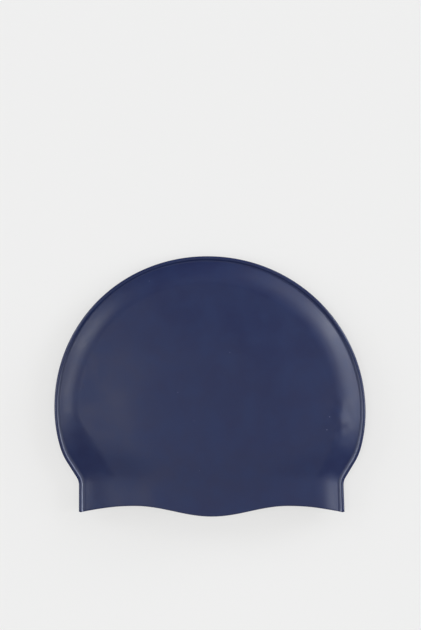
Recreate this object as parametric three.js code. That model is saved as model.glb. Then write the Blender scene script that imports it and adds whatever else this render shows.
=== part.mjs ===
// A moulded silicone swim cap, empty and lying on its side, as it lies on a table.
//
// The cap is one piece of rubber: two side panels that meet at a round bead, which runs over the
// dome from the front of the opening to the back. Each panel rolls away from the bead. The lower
// one then lies flat on the table, and the upper one goes on as a low crown. Below the dome the
// outline draws in to a straight collar, and the rim of the opening waves: a lobe in the middle
// covers the ear, and the two ends of the bead hang a little lower than the arches beside them.
//
// Millimetres. +X runs to the wearer's front, +Y to the top of the dome, +Z up from the table.
// The origin is on the table, under the middle of the cap's outline.
import * as THREE from "three";
import { mergeVertices } from "three/addons/utils/BufferGeometryUtils.js";

const { sin, cos, pow, hypot, PI } = Math;
const rad = THREE.MathUtils.degToRad;
const { lerp, clamp, smoothstep } = THREE.MathUtils;

// Outline, seen from above. Radii and lengths below the dome are those of the bead's centre line.
const CAP_WIDTH = 225; // across the widest level, over the beads
const DOME_RISE = 111; // from the widest level to the top of the dome, over the bead
const DOME_FULLNESS = 2.02; // the power of its superellipse: 2 is an ellipse, and more is fuller
const CHEEK_RADIUS = 99.4;
const CHEEK_TURN = rad(15.4);
const JAW_RADIUS = 41.6;
const JAW_TURN = rad(16.3);
const TAPER_LENGTH = 12.7;
const NECK_RADIUS = 12.1;
const COLLAR_LENGTH = 19.1;
const COLLAR_FLARE = rad(1);
const DOME_LEAN = 1.85; // the soft dome lies this far to the back of its collar

// Rim of the opening, measured down from the tops of its two arches.
const LOBE_DROP = 7.5;
const LOBE_HALF_SHARE = 0.575; // of the way from the middle of the rim to the bead
const CORNER_DROP = 5.3;

// Cross-section.
const WALL = 1;
const BEAD_DIAMETER = 3.4;
const GROOVE_ANGLE = rad(35); // where the panel leaves the bead, above the parting plane
const ROLL_WIDTH = 20; // from the outer edge of the bead to the crease, around the dome
const ROLL_RISE = 6.5;
const ROLL_POWER = 2.15; // the roll is steepest at the groove and level at the crease
const JAW_ROLL_WIDTH = 30;
const WIDENING = 34; // the roll widens to the jaw's over this length below the widest level
const COLLAR_ROLL_WIDTH = 22; // from the neck down
const COLLAR_ROLL_RISE = 6;
const SHOULDER_START = 10; // how far below the widest level the cap starts to thin to its collar
const CROWN_RISE = 9.5; // what the upper panel rises on top of its roll, from groove to middle
const COLLAR_CROWN_RISE = 7;
const CROWN_POWER = 2.4; // the crown is steepest at the groove and level in the middle

// Fineness of the mesh.
const DOME_STEPS = 24;
const BEAD_STEPS = 5;
const ROLL_STEPS = 7;
const PANEL_STEPS = 6;
const MERGE_DISTANCE = 1e-4;

const BEAD_RADIUS = BEAD_DIAMETER / 2;
const GROOVE = { inset: BEAD_RADIUS * cos(GROOVE_ANGLE), height: BEAD_RADIUS * sin(GROOVE_ANGLE) };

// The bead's route below the dome, from the widest level down to the rim. A positive turn bends
// it in towards the middle of the cap.
const LOWER_ROUTE = [
  { part: "cheek", radius: CHEEK_RADIUS, turn: CHEEK_TURN, steps: 5 },
  { part: "jaw", radius: JAW_RADIUS, turn: JAW_TURN, steps: 3 },
  { part: "taper", length: TAPER_LENGTH, turn: 0, steps: 2 },
  { part: "neck", radius: NECK_RADIUS, turn: -(CHEEK_TURN + JAW_TURN + COLLAR_FLARE), steps: 4 },
  { part: "collar", length: COLLAR_LENGTH, turn: 0, steps: 4 },
];

// Stations of the bead on the cap's +X side below the dome: the place of the bead's centre and
// the direction from it into the cap.
function lowerStations() {
  const stations = [];
  let x = CAP_WIDTH / 2 - BEAD_RADIUS;
  let y = 0;
  let heading = 0;
  for (const { length, radius, turn, steps } of LOWER_ROUTE) {
    const bend = turn / steps;
    const stride = radius ? 2 * radius * sin(Math.abs(bend) / 2) : length / steps;
    for (let step = 0; step < steps; step++) {
      x -= stride * sin(heading + bend / 2);
      y -= stride * cos(heading + bend / 2);
      heading += bend;
      stations.push({ x, y, intoX: -cos(heading), intoY: sin(heading) });
    }
  }
  return stations;
}

// Stations of the bead over the dome, half a superellipse from the +X side to the -X side.
function domeStations() {
  const halfWidth = CAP_WIDTH / 2 - BEAD_RADIUS;
  const rise = DOME_RISE - BEAD_RADIUS;
  const signedPow = (value, power) => Math.sign(value) * pow(Math.abs(value), power);
  return Array.from({ length: DOME_STEPS + 1 }, (_, step) => {
    const angle = (PI * step) / DOME_STEPS;
    const x = signedPow(cos(angle), 2 / DOME_FULLNESS);
    const y = signedPow(sin(angle), 2 / DOME_FULLNESS);
    const steepX = signedPow(x, DOME_FULLNESS - 1) / halfWidth;
    const steepY = signedPow(y, DOME_FULLNESS - 1) / rise;
    const steepness = hypot(steepX, steepY);
    const intoX = -steepX / steepness;
    const intoY = -steepY / steepness;
    return { x: halfWidth * x, y: rise * y, intoX, intoY };
  });
}

// How far the rim lies from the tops of its arches, at a share of the way from its middle (0) to
// the bead (1).
function rimWave(share) {
  const lobe = share < LOBE_HALF_SHARE ? (1 + cos((PI * share) / LOBE_HALF_SHARE)) / 2 : 0;
  const ear = pow(clamp((share - LOBE_HALF_SHARE) / (1 - LOBE_HALF_SHARE), 0, 1), 2);
  return -LOBE_DROP * lobe - CORNER_DROP * ear;
}

// How far behind the groove the inner skin of a roll of this slope meets the parting plane, a
// wall's thickness away from the outer skin.
function innerSetback(slope) {
  return (WALL * hypot(1, slope) - GROOVE.height) / slope;
}

// What the cross-section is made from at each station, from the dome's to the collar's.
function withSection(station, rimLevel, neckLevel) {
  const widening = smoothstep(-station.y, 0, WIDENING);
  const narrowing = smoothstep(-station.y, WIDENING, -neckLevel);
  const toCollar = smoothstep(-station.y, SHOULDER_START, -neckLevel);
  const toRim = clamp(station.y / rimLevel, 0, 1);
  const reach = station.y > 0 ? hypot(station.x, station.y) : Math.abs(station.x);
  const rise = lerp(ROLL_RISE, COLLAR_ROLL_RISE, toCollar);
  const crown = lerp(CROWN_RISE, COLLAR_CROWN_RISE, toCollar);
  const widened = lerp(ROLL_WIDTH, JAW_ROLL_WIDTH, widening);
  const rollWidth = lerp(widened, COLLAR_ROLL_WIDTH, narrowing) - BEAD_RADIUS - GROOVE.inset;
  const slope = (ROLL_POWER * rise) / rollWidth + (CROWN_POWER * crown) / reach;
  return {
    ...station,
    reach,
    rise,
    rollWidth,
    innerStart: GROOVE.inset + innerSetback(slope),
    crown,
    waveWeight: toRim * toRim,
    seamHeight: GROOVE.height + rise,
  };
}

// All stations in order, from the rim at +X, up and over the dome, to the rim at -X.
function allStations() {
  const lower = lowerStations();
  const neckLevel = lower.at(-1 - LOWER_ROUTE.at(-1).steps).y;
  const rimLevel = lower.at(-1).y;
  const mirrored = lower.map((s) => ({ ...s, x: -s.x, intoX: -s.intoX }));
  const route = [...lower].reverse().concat(domeStations(), mirrored);
  return route.map((s) => withSection(s, rimLevel, neckLevel));
}

// Columns of the cross-section, from the outermost line of the bead to the middle of the panel.
function sectionColumns() {
  const columns = [];
  for (let step = 0; step <= BEAD_STEPS; step++) {
    columns.push({ zone: "bead", at: lerp(PI, GROOVE_ANGLE, step / BEAD_STEPS) });
  }
  for (let step = 1; step <= ROLL_STEPS; step++) {
    columns.push({ zone: "roll", at: step / ROLL_STEPS });
  }
  for (let step = 1; step <= PANEL_STEPS; step++) {
    columns.push({ zone: "panel", at: step / PANEL_STEPS });
  }
  return columns;
}

// Distance in from the bead's centre and height above the parting plane, for the outer skin
// (depth 0) or the inner skin (depth WALL) of the upper (side 1) or lower (side -1) half.
function sectionPoint(station, { zone, at }, side, depth) {
  const { rollWidth, rise, crown, reach, innerStart } = station;
  const crease = GROOVE.inset + rollWidth;
  if (zone === "bead") {
    return depth
      ? { inset: innerStart, height: 0 }
      : { inset: BEAD_RADIUS * cos(at), height: side * BEAD_RADIUS * sin(at) };
  }
  const start = depth ? innerStart : GROOVE.inset;
  const inset = zone === "roll" ? lerp(start, crease, at) : lerp(crease, reach, at);
  const risen = zone === "roll" ? 1 - pow(1 - at, ROLL_POWER) : 1;
  const outer = GROOVE.height + rise * risen;
  const inner = (GROOVE.height + rise - depth) * risen;
  const rolled = depth ? inner : outer;
  const crowned = crown * (1 - pow(1 - (inset - start) / (reach - start), CROWN_POWER));
  return { inset, height: side > 0 ? rolled + crowned : -rolled };
}

// The point of the cap at a station and column. Near the bead it lies square to the bead, and
// further in on the line that runs from the bead to the middle of the cap.
function capPoint(station, column, side, depth) {
  const { inset, height } = sectionPoint(station, column, side, depth);
  const { x, y, intoX, intoY, reach, rollWidth, waveWeight, seamHeight } = station;
  const share = 1 - inset / reach;
  const wave = waveWeight * (rimWave(share) - rimWave(1));
  const inward = smoothstep(inset, 0, GROOVE.inset + rollWidth);
  const planX = lerp(x + intoX * inset, x * share, inward);
  const planY = lerp(y + intoY * inset, y > 0 ? y * share : y, inward) + wave;
  return [planX - (DOME_LEAN * planY) / DOME_RISE, planY, seamHeight + height];
}

// Adds the triangles of the strip between two rows of points.
function joinRows(triangles, first, second, flipped) {
  for (let k = 0; k + 1 < first.length; k++) {
    const corners = [first[k], first[k + 1], second[k + 1], second[k]];
    const ring = flipped ? corners.reverse() : corners;
    triangles.push(ring[0], ring[1], ring[2], ring[0], ring[2], ring[3]);
  }
}

// Leaves out the triangles that came to a line where rows of points meet.
function withoutSlivers(geometry) {
  const index = geometry.index.array;
  const kept = [];
  for (let k = 0; k < index.length; k += 3) {
    const [a, b, c] = index.slice(k, k + 3);
    if (a !== b && b !== c && c !== a) kept.push(a, b, c);
  }
  return geometry.setIndex(kept);
}

// The whole cap: an outer and an inner skin for each half, joined along the rim.
function capGeometry() {
  const stations = allStations();
  const columns = sectionColumns();
  const rows = (side, depth) =>
    stations.map((station) => columns.map((column) => capPoint(station, column, side, depth)));
  const triangles = [];
  for (const side of [1, -1]) {
    const outer = rows(side, 0);
    const inner = rows(side, WALL);
    for (let k = 0; k + 1 < stations.length; k++) {
      joinRows(triangles, outer[k], outer[k + 1], side > 0);
      joinRows(triangles, inner[k], inner[k + 1], side < 0);
    }
    joinRows(triangles, inner[0], outer[0], side > 0);
    joinRows(triangles, inner.at(-1), outer.at(-1), side < 0);
  }
  const loose = new THREE.BufferGeometry();
  loose.setAttribute("position", new THREE.Float32BufferAttribute(triangles.flat(), 3));
  const merged = withoutSlivers(mergeVertices(loose, MERGE_DISTANCE));
  merged.computeBoundingBox();
  const { min: low, max: high } = merged.boundingBox;
  merged.translate(-(low.x + high.x) / 2, -(low.y + high.y) / 2, 0);
  merged.computeVertexNormals();
  return merged;
}

const silicone = new THREE.MeshStandardMaterial({
  color: 0x2f3560,
  roughness: 0.42,
  metalness: 0,
});

const cap = new THREE.Mesh(capGeometry(), silicone);
cap.name = "cap_shell";

const swimCap = new THREE.Group();
swimCap.add(cap);

export default swimCap;
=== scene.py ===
"""A navy moulded silicone swim cap, empty and lying on its side on a pale table.

The cap is one piece of rubber. Its shape follows one rule: at every point of the seam bead, the
same cross-section runs in to the middle of the cap, and its sizes change from the dome to the
collar. A flat pattern of rows and columns carries the unit shape of that section, and a Geometry
Nodes tree moulds the pattern to size. All lengths are in metres.
"""

import math

import bpy
import numpy as np
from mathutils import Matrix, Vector


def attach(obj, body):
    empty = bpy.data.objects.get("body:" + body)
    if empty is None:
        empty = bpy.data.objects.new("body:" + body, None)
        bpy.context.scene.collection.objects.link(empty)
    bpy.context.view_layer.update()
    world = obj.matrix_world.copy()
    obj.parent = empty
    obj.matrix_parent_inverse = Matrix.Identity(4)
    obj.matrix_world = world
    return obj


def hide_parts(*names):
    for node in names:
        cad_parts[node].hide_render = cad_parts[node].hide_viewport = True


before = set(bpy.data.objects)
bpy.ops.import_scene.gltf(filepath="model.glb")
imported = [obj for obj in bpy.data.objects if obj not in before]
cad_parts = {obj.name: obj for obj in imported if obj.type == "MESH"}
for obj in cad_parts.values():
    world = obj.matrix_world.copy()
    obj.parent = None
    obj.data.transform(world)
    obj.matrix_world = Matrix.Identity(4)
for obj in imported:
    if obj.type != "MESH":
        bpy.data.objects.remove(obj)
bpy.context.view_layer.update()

MM = 0.001

# Outline, seen from above. Radii and lengths below the dome are those of the bead's centre line.
CAP_WIDTH = 225 * MM
DOME_RISE = 111 * MM
DOME_FULLNESS = 2.02  # the power of its superellipse: 2 is an ellipse
CHEEK = dict(radius=99.6 * MM, turn=math.radians(15.4), steps=14)
JAW = dict(radius=41.8 * MM, turn=math.radians(16.3), steps=10)
TAPER = dict(length=12.7 * MM, turn=0.0, steps=7)
COLLAR_FLARE = math.radians(1)
NECK = dict(radius=11.9 * MM, turn=-(CHEEK["turn"] + JAW["turn"] + COLLAR_FLARE), steps=14)
COLLAR = dict(length=19.1 * MM, turn=0.0, steps=12)
DOME_STEPS = 112

# Cross-section.
BEAD_RADIUS = 1.5 * MM
GROOVE_ANGLE = math.radians(28)  # how high on the bead the groove's floor lies
GROOVE_HEIGHT = BEAD_RADIUS * math.sin(GROOVE_ANGLE)
FACET_FROM = math.radians(58)  # from here the bead's inner side slopes straight down
FACET_SHARE = 0.6  # of the way to the groove's floor, where the soft hollow begins
PAINTED_HIGHLIGHT_TURN = math.radians(14)  # how far over the top of the bead its painted highlight reaches
PAINTED_HIGHLIGHT_FROM, PAINTED_HIGHLIGHT_FULL = -60 * MM, 20 * MM  # depth below the widest level: the highlight painted on the bead is stronger lower down
FILLET_TO = 0.05  # the hollow meets the roll at this share of its width
ROLL_POWER = 1.6  # the roll is steepest at the groove and level at the crease
JAW_ROLL_POWER = 2.0  # and turns level more gently from the jaw down
CAP_SIZES = {
    "bead_radius": BEAD_RADIUS,
    "bead_inner_side": BEAD_RADIUS * math.cos(GROOVE_ANGLE),
    "groove_height": GROOVE_HEIGHT,
    "groove_width": 1.0 * MM,
    "collar_groove_width": 1.4 * MM,
    "wall": 1 * MM,
    "roll_width": 20 * MM,
    "jaw_roll_width": 27 * MM,
    "collar_roll_width": 25 * MM,
    "roll_lean": 1.2 / 110,  # the dome's roll is 1.2 mm wider, 110 mm out at the +X side
    "collar_roll_lean": -3.5 / 100,  # and the collar's 3.5 mm narrower, 100 mm out
    "roll_rise": 7.6 * MM,
    "collar_roll_rise": 6.4 * MM,
    "roll_power": ROLL_POWER,
    "widening": 34 * MM,
    "shoulder_start": 10 * MM,
    "shoulder_sag": 15 * MM,
    "crown_rise": 5 * MM,
    "collar_crown_rise": 3.6 * MM,
    "crown_power": 2.4,
    "disc_rise": 3.1 * MM,
    "disc_start": 0.1,
    "disc_end": 0.6,
    "lobe_drop": 7.5 * MM,
    "lobe_share": 0.575,
    "corner_drop": 5.3 * MM,
    "lean_slope": 1.85 / 111,  # the top of the dome leans 1.85 mm towards -X
    "ripple_length": 45 * MM,
    "ripple_height": 1.3 * MM,
    "kink_below": 8 * MM,
    "kink_spread": 36 * MM,
    "kink_length": 13 * MM,
    "kink_height": 3.6 * MM,
    "kink_focus": 14.0,  # the power by which the kinks fade from the roll to the panel
    "kinkless_side": -110 * MM,
    "kinked_side": 110 * MM,
    "seed": 7.0,
}
BEAD_COLUMNS = 12
FACET_COLUMNS = 4
FILLET_COLUMNS = 8
ROLL_COLUMNS = 18
PANEL_COLUMNS = 26
PANEL_SPREAD = 1.25  # the panel's columns lie closer together towards the crease
LIP_ROWS = 6
MERGE_DISTANCE = 0.004 * MM

# Finish.
NAVY = "#182148"
DULL_NAVY = "#18254D"
# A pale colour painted along the bead's inner side as a highlight.
PAINTED_HIGHLIGHT_BLUE = "#959BB8"
DUST_GREY = "#8C90A8"
SATIN_ROUGHNESS = 0.38
DULL_ROUGHNESS = 0.46
BEAD_ROUGHNESS = 0.25
SILICONE_IOR = 1.42
BLOOM_SIZE = 16 * MM  # patches where the rubber has dulled a little
BLOOM_FROM, BLOOM_FULL = 0.35, 0.65
GRAIN_SIZE = 1.6 * MM  # the mould's satin grain is a tenth of this, drawn coarse enough to show
GRAIN_HEIGHT = 0.02 * MM
DUST_SPACING = 13 * MM
DUST_RADIUS = 0.4 * MM
DUST_CORE = 0.5  # the share of its radius to which a speck covers the rubber fully
DUST_COVER = 0.5

# Studio.
CAMERA_HEIGHT = 2.0
SENSOR_WIDTH = 36  # in millimetres, as a Blender camera counts it
FRAME_WIDTH, FRAME_HEIGHT = 421, 630
PIXELS_PER_METRE = 1383.4  # at the level of the bead
CAP_CENTRE_PIXEL = (210.0, 385.8)
SURROUND_STRENGTH = 0.26
TABLE_HALF = 4.0
TABLE_GREY = "#8A8A8A"
TABLE_ROUGHNESS = 0.9
TABLE_GLOW_COLOUR = "#FFFEFC"
TABLE_GLOW = 0.617
SOFT_LIGHT_ANGLE = math.radians(22)
SOFT_LIGHT_COLOUR = "#F6FAFF"
LIGHT_LEVEL = 1.06
# Each wide soft light: its height above the table and its direction, counted from the right
# round by the top of the picture, in degrees, and its strength.
SOFT_LIGHTS = (
    (6, 30, 0.8),
    (18, 0, 0.8),
    (18, 30, 0.93),
    (18, 60, 0.32),
    (18, 150, 0.78),
    (18, 180, 0.66),
    (32, 0, 0.28),
    (32, 144, 0.12),
    (48, 90, 0.11),
    (64, 0, 0.16),
    (64, 180, 0.36),
    (64, 240, 0.17),
    (64, 300, 0.12),
    (80, 180, 0.1),
)


def add_node(tree, kind, inputs=None, **settings):
    """Adds a node, sets it up, and gives each listed input a value or a link."""
    node = tree.nodes.new(kind)
    for name, value in settings.items():
        setattr(node, name, value)
    for socket, value in (inputs or {}).items():
        if isinstance(value, bpy.types.NodeSocket):
            tree.links.new(value, node.inputs[socket])
        else:
            node.inputs[socket].default_value = value
    return node


def linear(hex_colour):
    """An sRGB hex colour as linear red, green, blue and full alpha."""
    channels = [int(hex_colour[k : k + 2], 16) / 255 for k in (1, 3, 5)]
    return [c / 12.92 if c <= 0.04045 else ((c + 0.055) / 1.055) ** 2.4 for c in channels] + [1.0]


def lower_stations():
    """Places on the bead at the +X side, from below the widest level down to the rim.

    Each station is its X and Y and the direction in which the cross-section runs in from it.
    """
    x, y, heading = CAP_WIDTH / 2 - BEAD_RADIUS, 0.0, 0.0
    stations = []
    for stretch in (CHEEK, JAW, TAPER, NECK, COLLAR):
        bend = stretch["turn"] / stretch["steps"]
        if "radius" in stretch:
            stride = 2 * stretch["radius"] * math.sin(abs(bend) / 2)
        else:
            stride = stretch["length"] / stretch["steps"]
        for _ in range(stretch["steps"]):
            x -= stride * math.sin(heading + bend / 2)
            y -= stride * math.cos(heading + bend / 2)
            heading += bend
            stations.append((x, y, -math.cos(heading), math.sin(heading)))
    return np.array(stations)


def dome_stations():
    """Places on the bead over the dome, from the +X side to the -X side."""
    angle = np.linspace(0, math.pi, DOME_STEPS + 1)
    x, y = (np.sign(t) * np.abs(t) ** (2 / DOME_FULLNESS) for t in (np.cos(angle), np.sin(angle)))
    half_width, rise = CAP_WIDTH / 2 - BEAD_RADIUS, DOME_RISE - BEAD_RADIUS
    steep = np.stack([np.sign(x) * np.abs(x) ** (DOME_FULLNESS - 1) / half_width,
                      np.abs(y) ** (DOME_FULLNESS - 1) / rise])
    inward = -steep / np.hypot(*steep)
    return np.column_stack([x * half_width, y * rise, *inward])


STATION_FACTS = ("seam_x", "seam_y", "inward_x", "inward_y")
ROW_FACTS = ("depth", "lip")
COLUMN_FACTS = ("bead_across", "bead_up", "groove", "roll_across", "dome_roll_up", "jaw_roll_up",
                "panel", "rubbed")
UPWARD_FACTS = ("bead_up", "dome_roll_up", "jaw_roll_up")  # they point down in the lower half


def column(**facts):
    """One line of the pattern that runs along the bead. A fact that isn't given is 0."""
    return np.array([facts.get(name, 0.0) for name in COLUMN_FACTS])


def section_columns():
    """The unit cross-section, from the outermost line of the bead to the middle of the panel.

    Each column says how many bead radii it lies across and up from the bead's centre, how many
    groove widths, roll widths and roll rises it adds to that, on the dome and from the jaw down,
    its share of the way over the panel, and how much highlight is painted on the bead's inner side there.
    """
    # The painted highlight is full on the bead's inner side and fades over its top.
    bead = [column(bead_across=math.cos(a), bead_up=math.sin(a),
                   rubbed=max(0, 1 - (a - FACET_FROM) / PAINTED_HIGHLIGHT_TURN))
            for a in np.linspace(math.pi, FACET_FROM, BEAD_COLUMNS, endpoint=False)]
    floor = math.sin(GROOVE_ANGLE)
    edge = dict(bead_across=math.cos(GROOVE_ANGLE), bead_up=floor, groove=1)
    roll = [column(**edge, roll_across=share, dome_roll_up=1 - (1 - share) ** ROLL_POWER,
                   jaw_roll_up=1 - (1 - share) ** JAW_ROLL_POWER)
            for share in np.linspace(FILLET_TO, 1, ROLL_COLUMNS)]
    # The inner side leaves the round bead along its tangent and slopes straight towards the floor.
    side, top = math.cos(FACET_FROM), math.sin(FACET_FROM)
    leave = column(bead_across=side, bead_up=top, rubbed=1)
    touch = column(bead_across=side + (top - floor) * math.tan(FACET_FROM), bead_up=floor)
    facet = [leave + (touch - leave) * share
             for share in np.linspace(0, FACET_SHARE, FACET_COLUMNS, endpoint=False)]
    # The soft hollow turns from there over the floor and meets the roll.
    begin = leave + (touch - leave) * FACET_SHARE
    t = np.linspace(0, 1, FILLET_COLUMNS, endpoint=False)[:, None]
    hollow = ((1 - t) ** 3 * begin + 3 * t * (1 - t) ** 2 * touch
              + 3 * t**2 * (1 - t) * column(**edge) + t**3 * roll[0])
    crease = dict(roll_across=1, dome_roll_up=1, jaw_roll_up=1)
    panel = [column(**edge, **crease, panel=share**PANEL_SPREAD)
             for share in np.linspace(0, 1, PANEL_COLUMNS + 1)[1:]]
    return np.vstack([bead, facet, hollow, roll, panel])


def band_rows(count):
    """A band's rows: each one's station, its depth into the wall and how far out on the lip it is.

    They follow the outer skin from rim to rim, turn over the lip into the hollow, and come back
    along the inner skin and over the other lip.
    """
    turn = np.linspace(0, math.pi, LIP_ROWS + 2)[1:-1]
    lip = list(zip((1 - np.cos(turn)) / 2, np.sin(turn) / 2))
    rows = [(k, 0.0, 0.0) for k in range(count)]
    rows += [(count - 1, depth, out) for depth, out in lip]
    rows += [(k, 1.0, 0.0) for k in reversed(range(count))]
    rows += [(0, depth, out) for depth, out in reversed(lip)]
    return np.array(rows)


def cap_pattern():
    """The flat pattern that the tree moulds: a band of rows for each half of the cap.

    Its points all lie at the origin and carry the facts that the tree places them by.
    """
    lower = lower_stations()
    mirrored = lower * (-1, 1, -1, 1)
    stations = np.vstack([lower[::-1], dome_stations(), mirrored])
    rows = band_rows(len(stations))
    columns = section_columns()
    width = len(columns)
    station_of_row = stations[rows[:, 0].astype(int)]
    bands, faces = [], []
    for half in (1, -1):
        first = len(bands) * len(rows) * width
        signed = columns * [half if name in UPWARD_FACTS else 1 for name in COLUMN_FACTS]
        bands.append(np.concatenate([
            np.repeat(station_of_row, width, axis=0),
            np.repeat(rows[:, 1:], width, axis=0),
            np.tile(signed, (len(rows), 1)),
            np.full((len(rows) * width, 1), max(half, 0)),
        ], axis=1))
        for row in range(len(rows)):
            here, there = first + row * width, first + (row + 1) % len(rows) * width
            for k in range(width - 1):
                ring = (here + k, there + k, there + k + 1, here + k + 1)
                faces.append(ring if half > 0 else ring[::-1])
    facts = np.vstack(bands)
    names = STATION_FACTS + ROW_FACTS + COLUMN_FACTS + ("upper",)
    # The highlight is painted on the outer skin alone, and fully from a little below the widest level.
    below = -facts[:, names.index("seam_y")]
    highlight_depth_share = np.clip((below - PAINTED_HIGHLIGHT_FROM) / (PAINTED_HIGHLIGHT_FULL - PAINTED_HIGHLIGHT_FROM), 0, 1)
    facts[:, names.index("rubbed")] *= highlight_depth_share * (1 - facts[:, names.index("depth")])
    mesh = bpy.data.meshes.new("cap_pattern")
    mesh.from_pydata([(0, 0, 0)] * len(facts), [], faces)
    for name, values in zip(names, facts.T):
        mesh.attributes.new(name, "FLOAT", "POINT").data.foreach_set("value", values)
    depths = {"neck_depth": -lower[-1 - COLLAR["steps"], 1], "rim_depth": -lower[-1, 1]}
    return mesh, names, depths


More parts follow.
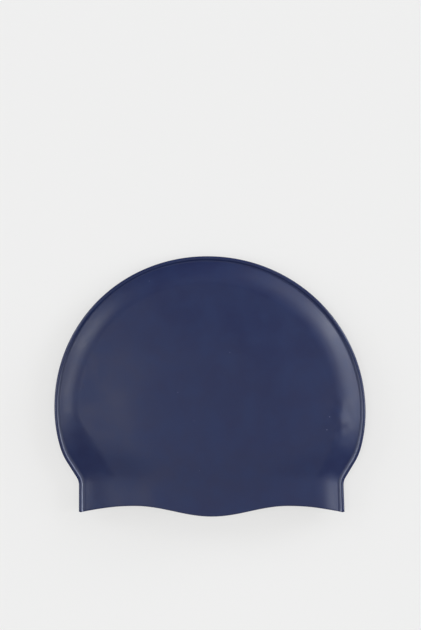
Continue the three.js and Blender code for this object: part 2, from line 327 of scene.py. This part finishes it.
# The rule that moulds the cap. Each row names a value, the operation that makes it and its terms,
# which are facts of the pattern, sizes of the cap, earlier values or plain numbers.
CAP_RULE = (
    # How far down towards the rim this section is.
    ("below", "MULTIPLY", "seam_y", -1),
    ("widened", "EASE", "below", 0, "widening"),
    ("narrowed", "EASE", "below", "widening", "neck_depth"),
    ("thinned", "EASE", "below", "shoulder_start", "neck_depth"),
    ("to_rim", "SHARE", "below", 0, "rim_depth"),
    ("rim_weight", "MULTIPLY", "to_rim", "to_rim"),
    # The sizes of the section here.
    ("widened_band", "MIX", "widened", "roll_width", "jaw_roll_width"),
    ("even_band", "MIX", "narrowed", "widened_band", "collar_roll_width"),
    ("band_lean", "MIX", "widened", "roll_lean", "collar_roll_lean"),
    ("band", "MULTIPLY_ADD", "seam_x", "band_lean", "even_band"),
    ("groove_here", "MIX", "widened", "groove_width", "collar_groove_width"),
    ("groove_inset", "ADD", "bead_inner_side", "groove_here"),
    ("band_inside_bead", "SUBTRACT", "band", "bead_radius"),
    ("roll_reach", "SUBTRACT", "band_inside_bead", "groove_inset"),
    ("crease", "ADD", "groove_inset", "roll_reach"),
    ("rise", "MIX", "thinned", "roll_rise", "collar_roll_rise"),
    ("seam_height", "ADD", "groove_height", "rise"),
    ("dome_y", "MAXIMUM", "seam_y", 0),
    ("lower_y", "MINIMUM", "seam_y", 0),
    ("x_squared", "MULTIPLY", "seam_x", "seam_x"),
    ("reach_squared", "MULTIPLY_ADD", "dome_y", "dome_y", "x_squared"),
    ("reach", "SQRT", "reach_squared"),
    # The outer skin: bead and roll.
    ("roll_up", "MIX", "widened", "dome_roll_up", "jaw_roll_up"),
    ("outer_roll", "MULTIPLY", "roll_across", "roll_reach"),
    ("outer_groove", "MULTIPLY_ADD", "groove", "groove_here", "outer_roll"),
    ("outer_across", "MULTIPLY_ADD", "bead_across", "bead_radius", "outer_groove"),
    ("outer_lift", "MULTIPLY", "roll_up", "rise"),
    ("outer_up", "MULTIPLY_ADD", "bead_up", "bead_radius", "outer_lift"),
    # The inner skin: a roll alone, which starts where the wall's inside meets the parting plane.
    ("first_rise", "MULTIPLY", "rise", "roll_power"),
    ("roll_slope", "DIVIDE", "first_rise", "roll_reach"),
    ("edge_crown", "MIX", "thinned", "crown_rise", "collar_crown_rise"),
    ("first_crown", "MULTIPLY", "edge_crown", "crown_power"),
    ("crown_slope", "DIVIDE", "first_crown", "reach"),
    ("slope", "ADD", "roll_slope", "crown_slope"),
    ("slant_squared", "MULTIPLY_ADD", "slope", "slope", 1),
    ("slant", "SQRT", "slant_squared"),
    ("slant_wall", "MULTIPLY", "wall", "slant"),
    ("wall_inside", "SUBTRACT", "slant_wall", "groove_height"),
    ("setback", "DIVIDE", "wall_inside", "slope"),
    ("inner_start", "ADD", "groove_inset", "setback"),
    ("inner_reach", "SUBTRACT", "crease", "inner_start"),
    ("inner_across", "MULTIPLY_ADD", "roll_across", "inner_reach", "inner_start"),
    ("inner_height", "SUBTRACT", "seam_height", "wall"),
    ("inner_up", "MULTIPLY", "roll_up", "inner_height"),
    ("skin_across", "MIX", "depth", "outer_across", "inner_across"),
    ("skin_up", "MIX", "depth", "outer_up", "inner_up"),
    ("across", "MIX", "panel", "skin_across", "reach"),
    ("across_share", "DIVIDE", "across", "reach"),
    ("share", "SUBTRACT", 1, "across_share"),
    # The upper panel's crown, and how far its middle keeps the dome's height towards the rim.
    ("share_squared", "MULTIPLY", "share", "share"),
    ("inside", "SUBTRACT", 1, "share_squared"),
    ("sag", "MULTIPLY", "inside", "shoulder_sag"),
    ("below_sag", "SUBTRACT", "below", "sag"),
    ("thinned_here", "EASE", "below_sag", "shoulder_start", "neck_depth"),
    ("crown", "MIX", "thinned_here", "crown_rise", "collar_crown_rise"),
    ("skin_start", "MIX", "depth", "groove_inset", "inner_start"),
    ("from_groove", "SHARE", "across", "skin_start", "reach"),
    ("from_middle", "SUBTRACT", 1, "from_groove"),
    ("crown_fall", "POWER", "from_middle", "crown_power"),
    ("crown_share", "SUBTRACT", 1, "crown_fall"),
    ("crown_alone", "MULTIPLY", "crown", "crown_share"),
    ("on_disc", "EASE", "from_groove", "disc_start", "disc_end"),
    ("crown_lift", "MULTIPLY_ADD", "on_disc", "disc_rise", "crown_alone"),
    # The lower panel stays on the table, so the upper one keeps the height of both rolls.
    ("less_thinned", "SUBTRACT", "thinned", "thinned_here"),
    ("rise_change", "SUBTRACT", "roll_rise", "collar_roll_rise"),
    ("rise_kept", "MULTIPLY", "less_thinned", "rise_change"),
    ("roll_kept", "MULTIPLY", "rise_kept", "roll_up"),
    ("both_kept", "MULTIPLY", "roll_kept", 2),
    ("upper_kept", "ABSOLUTE", "both_kept"),
    ("lift", "ADD", "crown_lift", "upper_kept"),
    ("upper_lift", "MULTIPLY", "lift", "upper"),
    ("panel_up", "ADD", "skin_up", "upper_lift"),
    ("z", "ADD", "seam_height", "panel_up"),
    # The plan: square to the bead beside it, and further in on the way to the middle.
    ("turned_in", "EASE", "across", 0, "crease"),
    ("square_x", "MULTIPLY_ADD", "inward_x", "across", "seam_x"),
    ("square_y", "MULTIPLY_ADD", "inward_y", "across", "seam_y"),
    ("middle_x", "MULTIPLY", "seam_x", "share"),
    ("middle_y", "MULTIPLY_ADD", "dome_y", "share", "lower_y"),
    ("plan_x", "MIX", "turned_in", "square_x", "middle_x"),
    ("plan_y", "MIX", "turned_in", "square_y", "middle_y"),
    # The wave of the rim: a lobe in the middle, two arches, and the low corners at the bead.
    ("lobe_at", "SHARE", "share", 0, "lobe_share"),
    ("lobe_turn", "MULTIPLY", "lobe_at", math.pi),
    ("lobe_cosine", "COSINE", "lobe_turn"),
    ("lobe", "MULTIPLY_ADD", "lobe_cosine", 0.5, 0.5),
    ("lobe_depth", "MULTIPLY", "lobe", "lobe_drop"),
    ("corner_at", "SHARE", "share", "lobe_share", 1),
    ("corner", "MULTIPLY", "corner_at", "corner_at"),
    ("arch", "SUBTRACT", 1, "corner"),
    ("arch_height", "MULTIPLY", "arch", "corner_drop"),
    ("wave", "SUBTRACT", "arch_height", "lobe_depth"),
    ("waved_y", "MULTIPLY_ADD", "wave", "rim_weight", "plan_y"),
    ("lip_out", "MULTIPLY", "lip", "wall"),
    ("y", "SUBTRACT", "waved_y", "lip_out"),
    ("lean", "MULTIPLY", "y", "lean_slope"),
    ("x", "SUBTRACT", "plan_x", "lean"),
    # Where the upper skin ripples, and where its roll is kinked: beside the widest level at +X.
    ("rippled", "MULTIPLY", "roll_across", "upper"),
    ("off_kink", "SUBTRACT", "below", "kink_below"),
    ("kink_distance", "ABSOLUTE", "off_kink"),
    ("kink_here", "EASE", "kink_distance", "kink_spread", 0),
    ("kink_side", "EASE", "seam_x", "kinkless_side", "kinked_side"),
    ("kink_strength", "MULTIPLY", "kink_here", "kink_side"),
    ("off_panel", "SUBTRACT", 1, "panel"),
    ("near_roll", "POWER", "off_panel", "kink_focus"),
    ("kink_skin", "MULTIPLY", "rippled", "near_roll"),
    ("kinked", "MULTIPLY", "kink_skin", "kink_strength"),
)
RULE_NODES = {
    "MIX": ("ShaderNodeMix", {}, (0, 2, 3)),
    "SHARE": ("ShaderNodeMapRange", {}, (0, 1, 2)),
    "EASE": ("ShaderNodeMapRange", {"interpolation_type": "SMOOTHSTEP"}, (0, 1, 2)),
}


def waved_skin(tree, skin, values, wave, where):
    """Lifts and lowers the skin in smooth random waves, as far as one of the values lets it."""
    length, height = values[wave + "_length"], values[wave + "_height"]
    frequency = add_node(tree, "ShaderNodeMath", {0: 1.0, 1: length}, operation="DIVIDE")
    noise = add_node(tree, "ShaderNodeTexNoise", {
        "Vector": add_node(tree, "GeometryNodeInputPosition").outputs[0],
        "W": values["seed"], "Scale": frequency.outputs[0], "Detail": 1.0}, noise_dimensions="4D")
    lift = add_node(tree, "ShaderNodeMath", {0: noise.outputs[0], 1: 0.5}, operation="SUBTRACT")
    for factor in (height, values[where]):
        lift = add_node(tree, "ShaderNodeMath", {0: lift.outputs[0], 1: factor},
                        operation="MULTIPLY")
    offset = add_node(tree, "ShaderNodeCombineXYZ", {"Z": lift.outputs[0]})
    return add_node(tree, "GeometryNodeSetPosition", {
        "Geometry": skin.outputs[0], "Offset": offset.outputs[0]})


def cap_tree(facts, sizes, material):
    """The Geometry Nodes tree that moulds the pattern into the cap. Its inputs are the sizes."""
    tree = bpy.data.node_groups.new("mould_cap", "GeometryNodeTree")
    tree.interface.new_socket("Geometry", in_out="INPUT", socket_type="NodeSocketGeometry")
    for name, value in sizes.items():
        socket = tree.interface.new_socket(name, in_out="INPUT", socket_type="NodeSocketFloat")
        socket.default_value = value
    tree.interface.new_socket("Geometry", in_out="OUTPUT", socket_type="NodeSocketGeometry")
    inputs = add_node(tree, "NodeGroupInput")
    values = {name: inputs.outputs[name] for name in sizes}
    for name in facts:
        named = add_node(tree, "GeometryNodeInputNamedAttribute", {"Name": name})
        values[name] = named.outputs["Attribute"]
    for name, operation, *terms in CAP_RULE:
        plain = ("ShaderNodeMath", {"operation": operation}, range(3))
        kind, settings, sockets = RULE_NODES.get(operation, plain)
        wired = {socket: values.get(term, term) for socket, term in zip(sockets, terms)}
        values[name] = add_node(tree, kind, wired, label=name, **settings).outputs[0]
    place = add_node(tree, "ShaderNodeCombineXYZ", {k: values[k.lower()] for k in "XYZ"})
    moulded = add_node(tree, "GeometryNodeSetPosition", {
        "Geometry": inputs.outputs["Geometry"], "Position": place.outputs[0]})
    # The thin rubber doesn't lie quite even: low ripples cross the upper skin, and kinks its roll.
    rippled = waved_skin(tree, moulded, values, "ripple", "rippled")
    kinked = waved_skin(tree, rippled, values, "kink", "kinked")
    joined = add_node(tree, "GeometryNodeMergeByDistance", {
        "Geometry": kinked.outputs[0], "Distance": MERGE_DISTANCE})
    smooth = add_node(tree, "GeometryNodeSetShadeSmooth", {"Geometry": joined.outputs[0]})
    realized = add_node(tree, "GeometryNodeRealizeInstances", {"Geometry": smooth.outputs[0]})
    finished = add_node(tree, "GeometryNodeSetMaterial", {
        "Geometry": realized.outputs[0], "Material": material})
    add_node(tree, "NodeGroupOutput", {"Geometry": finished.outputs[0]})
    return tree


def mould_cap(material):
    """The cap as one plain mesh, placed where the CAD model's cap is."""
    pattern, facts, depths = cap_pattern()
    sizes = CAP_SIZES | depths
    draft = bpy.data.objects.new("cap_draft", pattern)
    bpy.context.scene.collection.objects.link(draft)
    modifier = draft.modifiers.new("mould", "NODES")
    tree = cap_tree(facts, sizes, material)
    modifier.node_group = tree
    identifiers = {s.name: s.identifier for s in tree.interface.items_tree if s.in_out == "INPUT"}
    for name, value in sizes.items():
        modifier[identifiers[name]] = value
    evaluated = draft.evaluated_get(bpy.context.evaluated_depsgraph_get())
    mesh = bpy.data.meshes.new_from_object(evaluated)
    draft.modifiers.remove(modifier)
    bpy.data.objects.remove(draft)
    # The material reads what lies beyond the bead and where a highlight is painted. The other facts have
    # served.
    mesh.attributes["groove"].name = "beyond_bead"
    for name in facts:
        if name != "rubbed" and name in mesh.attributes:
            mesh.attributes.remove(mesh.attributes[name])
    # The frame's origin lies under the middle of the cap's outline.
    spots = np.empty(len(mesh.vertices) * 3)
    mesh.vertices.foreach_get("co", spots)
    spots = spots.reshape(-1, 3)
    middle = (spots.min(axis=0) + spots.max(axis=0)) / 2
    spots -= (middle[0], middle[1], 0)
    mesh.vertices.foreach_set("co", spots.ravel())
    mesh.name = "silicone_cap"
    cap = bpy.data.objects.new("silicone_cap", mesh)
    bpy.context.scene.collection.objects.link(cap)
    return cap


def moulded_silicone():
    """Silicone rubber out of a satin mould.

    The satin gives soft, wide highlights on a deep navy, a little uneven where the rubber's
    bloom has dulled it. The bead came out of the polished parting groove and shines more, and a
    pale highlight is painted along its inner side. A few specks of dust cling to the rubber.
    """
    material = bpy.data.materials.new("moulded_silicone")
    material.use_nodes = True
    tree = material.node_tree
    tree.nodes.clear()
    spot = add_node(tree, "ShaderNodeTexCoord").outputs["Object"]
    bloom = add_node(tree, "ShaderNodeTexNoise", {
        "Vector": spot, "Scale": 1 / BLOOM_SIZE, "Detail": 3.0, "Roughness": 0.6})
    patchy = add_node(tree, "ShaderNodeMapRange", {
        0: bloom.outputs[0], 1: BLOOM_FROM, 2: BLOOM_FULL})
    satin = add_node(tree, "ShaderNodeMix", {
        0: patchy.outputs[0], 2: SATIN_ROUGHNESS, 3: DULL_ROUGHNESS})
    beyond_bead = add_node(tree, "ShaderNodeAttribute", attribute_name="beyond_bead")
    roughness = add_node(tree, "ShaderNodeMix", {
        0: beyond_bead.outputs["Fac"], 2: BEAD_ROUGHNESS, 3: satin.outputs[0]})
    navy = add_node(tree, "ShaderNodeMix", {
        "Factor": patchy.outputs[0], 6: linear(NAVY), 7: linear(DULL_NAVY)}, data_type="RGBA")
    rubbed = add_node(tree, "ShaderNodeAttribute", attribute_name="rubbed")
    # A pale line painted along the bead's inner side stands in for its highlight.
    with_painted_highlight = add_node(tree, "ShaderNodeMix", {
        "Factor": rubbed.outputs["Fac"], 6: navy.outputs[2], 7: linear(PAINTED_HIGHLIGHT_BLUE)},
        data_type="RGBA")
    dust = add_node(tree, "ShaderNodeTexVoronoi", {"Vector": spot, "Scale": 1 / DUST_SPACING})
    rim = DUST_RADIUS / DUST_SPACING
    speck = add_node(tree, "ShaderNodeMapRange", {
        0: dust.outputs["Distance"], 1: rim, 2: DUST_CORE * rim, 3: 0.0, 4: DUST_COVER})
    dusty = add_node(tree, "ShaderNodeMix", {
        "Factor": speck.outputs[0], 6: with_painted_highlight.outputs[2], 7: linear(DUST_GREY)}, data_type="RGBA")
    grain = add_node(tree, "ShaderNodeTexNoise", {"Vector": spot, "Scale": 1 / GRAIN_SIZE, "Detail": 2.0})
    bump = add_node(tree, "ShaderNodeBump", {
        "Height": grain.outputs[0], "Distance": GRAIN_HEIGHT, "Strength": 1.0})
    surface = add_node(tree, "ShaderNodeBsdfPrincipled", {
        "Base Color": dusty.outputs[2], "Roughness": roughness.outputs[0], "IOR": SILICONE_IOR,
        "Normal": bump.outputs[0]})
    add_node(tree, "ShaderNodeOutputMaterial", {"Surface": surface.outputs[0]})
    return material


def pale_floor():
    """A wide matt table top that glows a little, so that shadows on it stay faint."""
    material = bpy.data.materials.new("pale_table")
    material.use_nodes = True
    material.node_tree.nodes.clear()
    surface = add_node(material.node_tree, "ShaderNodeBsdfPrincipled", {
        "Base Color": linear(TABLE_GREY), "Roughness": TABLE_ROUGHNESS, "Specular IOR Level": 0.0,
        "Emission Color": linear(TABLE_GLOW_COLOUR), "Emission Strength": TABLE_GLOW})
    add_node(material.node_tree, "ShaderNodeOutputMaterial", {"Surface": surface.outputs[0]})
    mesh = bpy.data.meshes.new("table")
    half = TABLE_HALF
    corners = [(-half, -half, 0), (half, -half, 0), (half, half, 0), (-half, half, 0)]
    mesh.from_pydata(corners, [], [(0, 1, 2, 3)])
    mesh.materials.append(material)
    floor = bpy.data.objects.new("table", mesh)
    floor.visible_glossy = False  # it would turn the bead's dark outer side pale
    bpy.context.scene.collection.objects.link(floor)


def soft_light(height, direction, strength):
    """A wide soft light, far enough away to light the whole table evenly."""
    light = bpy.data.lights.new("soft_light", "SUN")
    light.angle = SOFT_LIGHT_ANGLE
    light.energy = LIGHT_LEVEL * strength
    light.color = linear(SOFT_LIGHT_COLOUR)[:3]
    lamp = bpy.data.objects.new("soft_light", light)
    up, turn = math.radians(height), math.radians(direction)
    towards = Vector((math.cos(up) * math.cos(turn), math.cos(up) * math.sin(turn), math.sin(up)))
    lamp.rotation_euler = (-towards).to_track_quat("-Z", "Y").to_euler()
    bpy.context.scene.collection.objects.link(lamp)


def studio():
    """Low, soft light from both sides and a little from above, in an even pale surround."""
    world = bpy.data.worlds.new("studio")
    world.use_nodes = True
    background = world.node_tree.nodes["Background"]
    background.inputs["Color"].default_value = (1, 1, 1, 1)
    background.inputs["Strength"].default_value = SURROUND_STRENGTH
    bpy.context.scene.world = world
    for height, direction, strength in SOFT_LIGHTS:
        soft_light(height, direction, strength)
    bpy.context.scene.view_settings.view_transform = "Standard"


def camera():
    """A long lens straight above the cap, framed as the photo is."""
    seam_level = GROOVE_HEIGHT + CAP_SIZES["roll_rise"]
    data = bpy.data.cameras.new("camera")
    data.sensor_width = SENSOR_WIDTH
    data.lens = SENSOR_WIDTH * (CAMERA_HEIGHT - seam_level) * PIXELS_PER_METRE / FRAME_HEIGHT
    view = bpy.data.objects.new("camera", data)
    right = (FRAME_WIDTH / 2 - CAP_CENTRE_PIXEL[0]) / PIXELS_PER_METRE
    up = (CAP_CENTRE_PIXEL[1] - FRAME_HEIGHT / 2) / PIXELS_PER_METRE
    view.location = (right, up, CAMERA_HEIGHT)
    bpy.context.scene.collection.objects.link(view)
    bpy.context.scene.camera = view


cap = mould_cap(moulded_silicone())
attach(cap, "root")
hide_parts("cap_shell")
pale_floor()
studio()
camera()
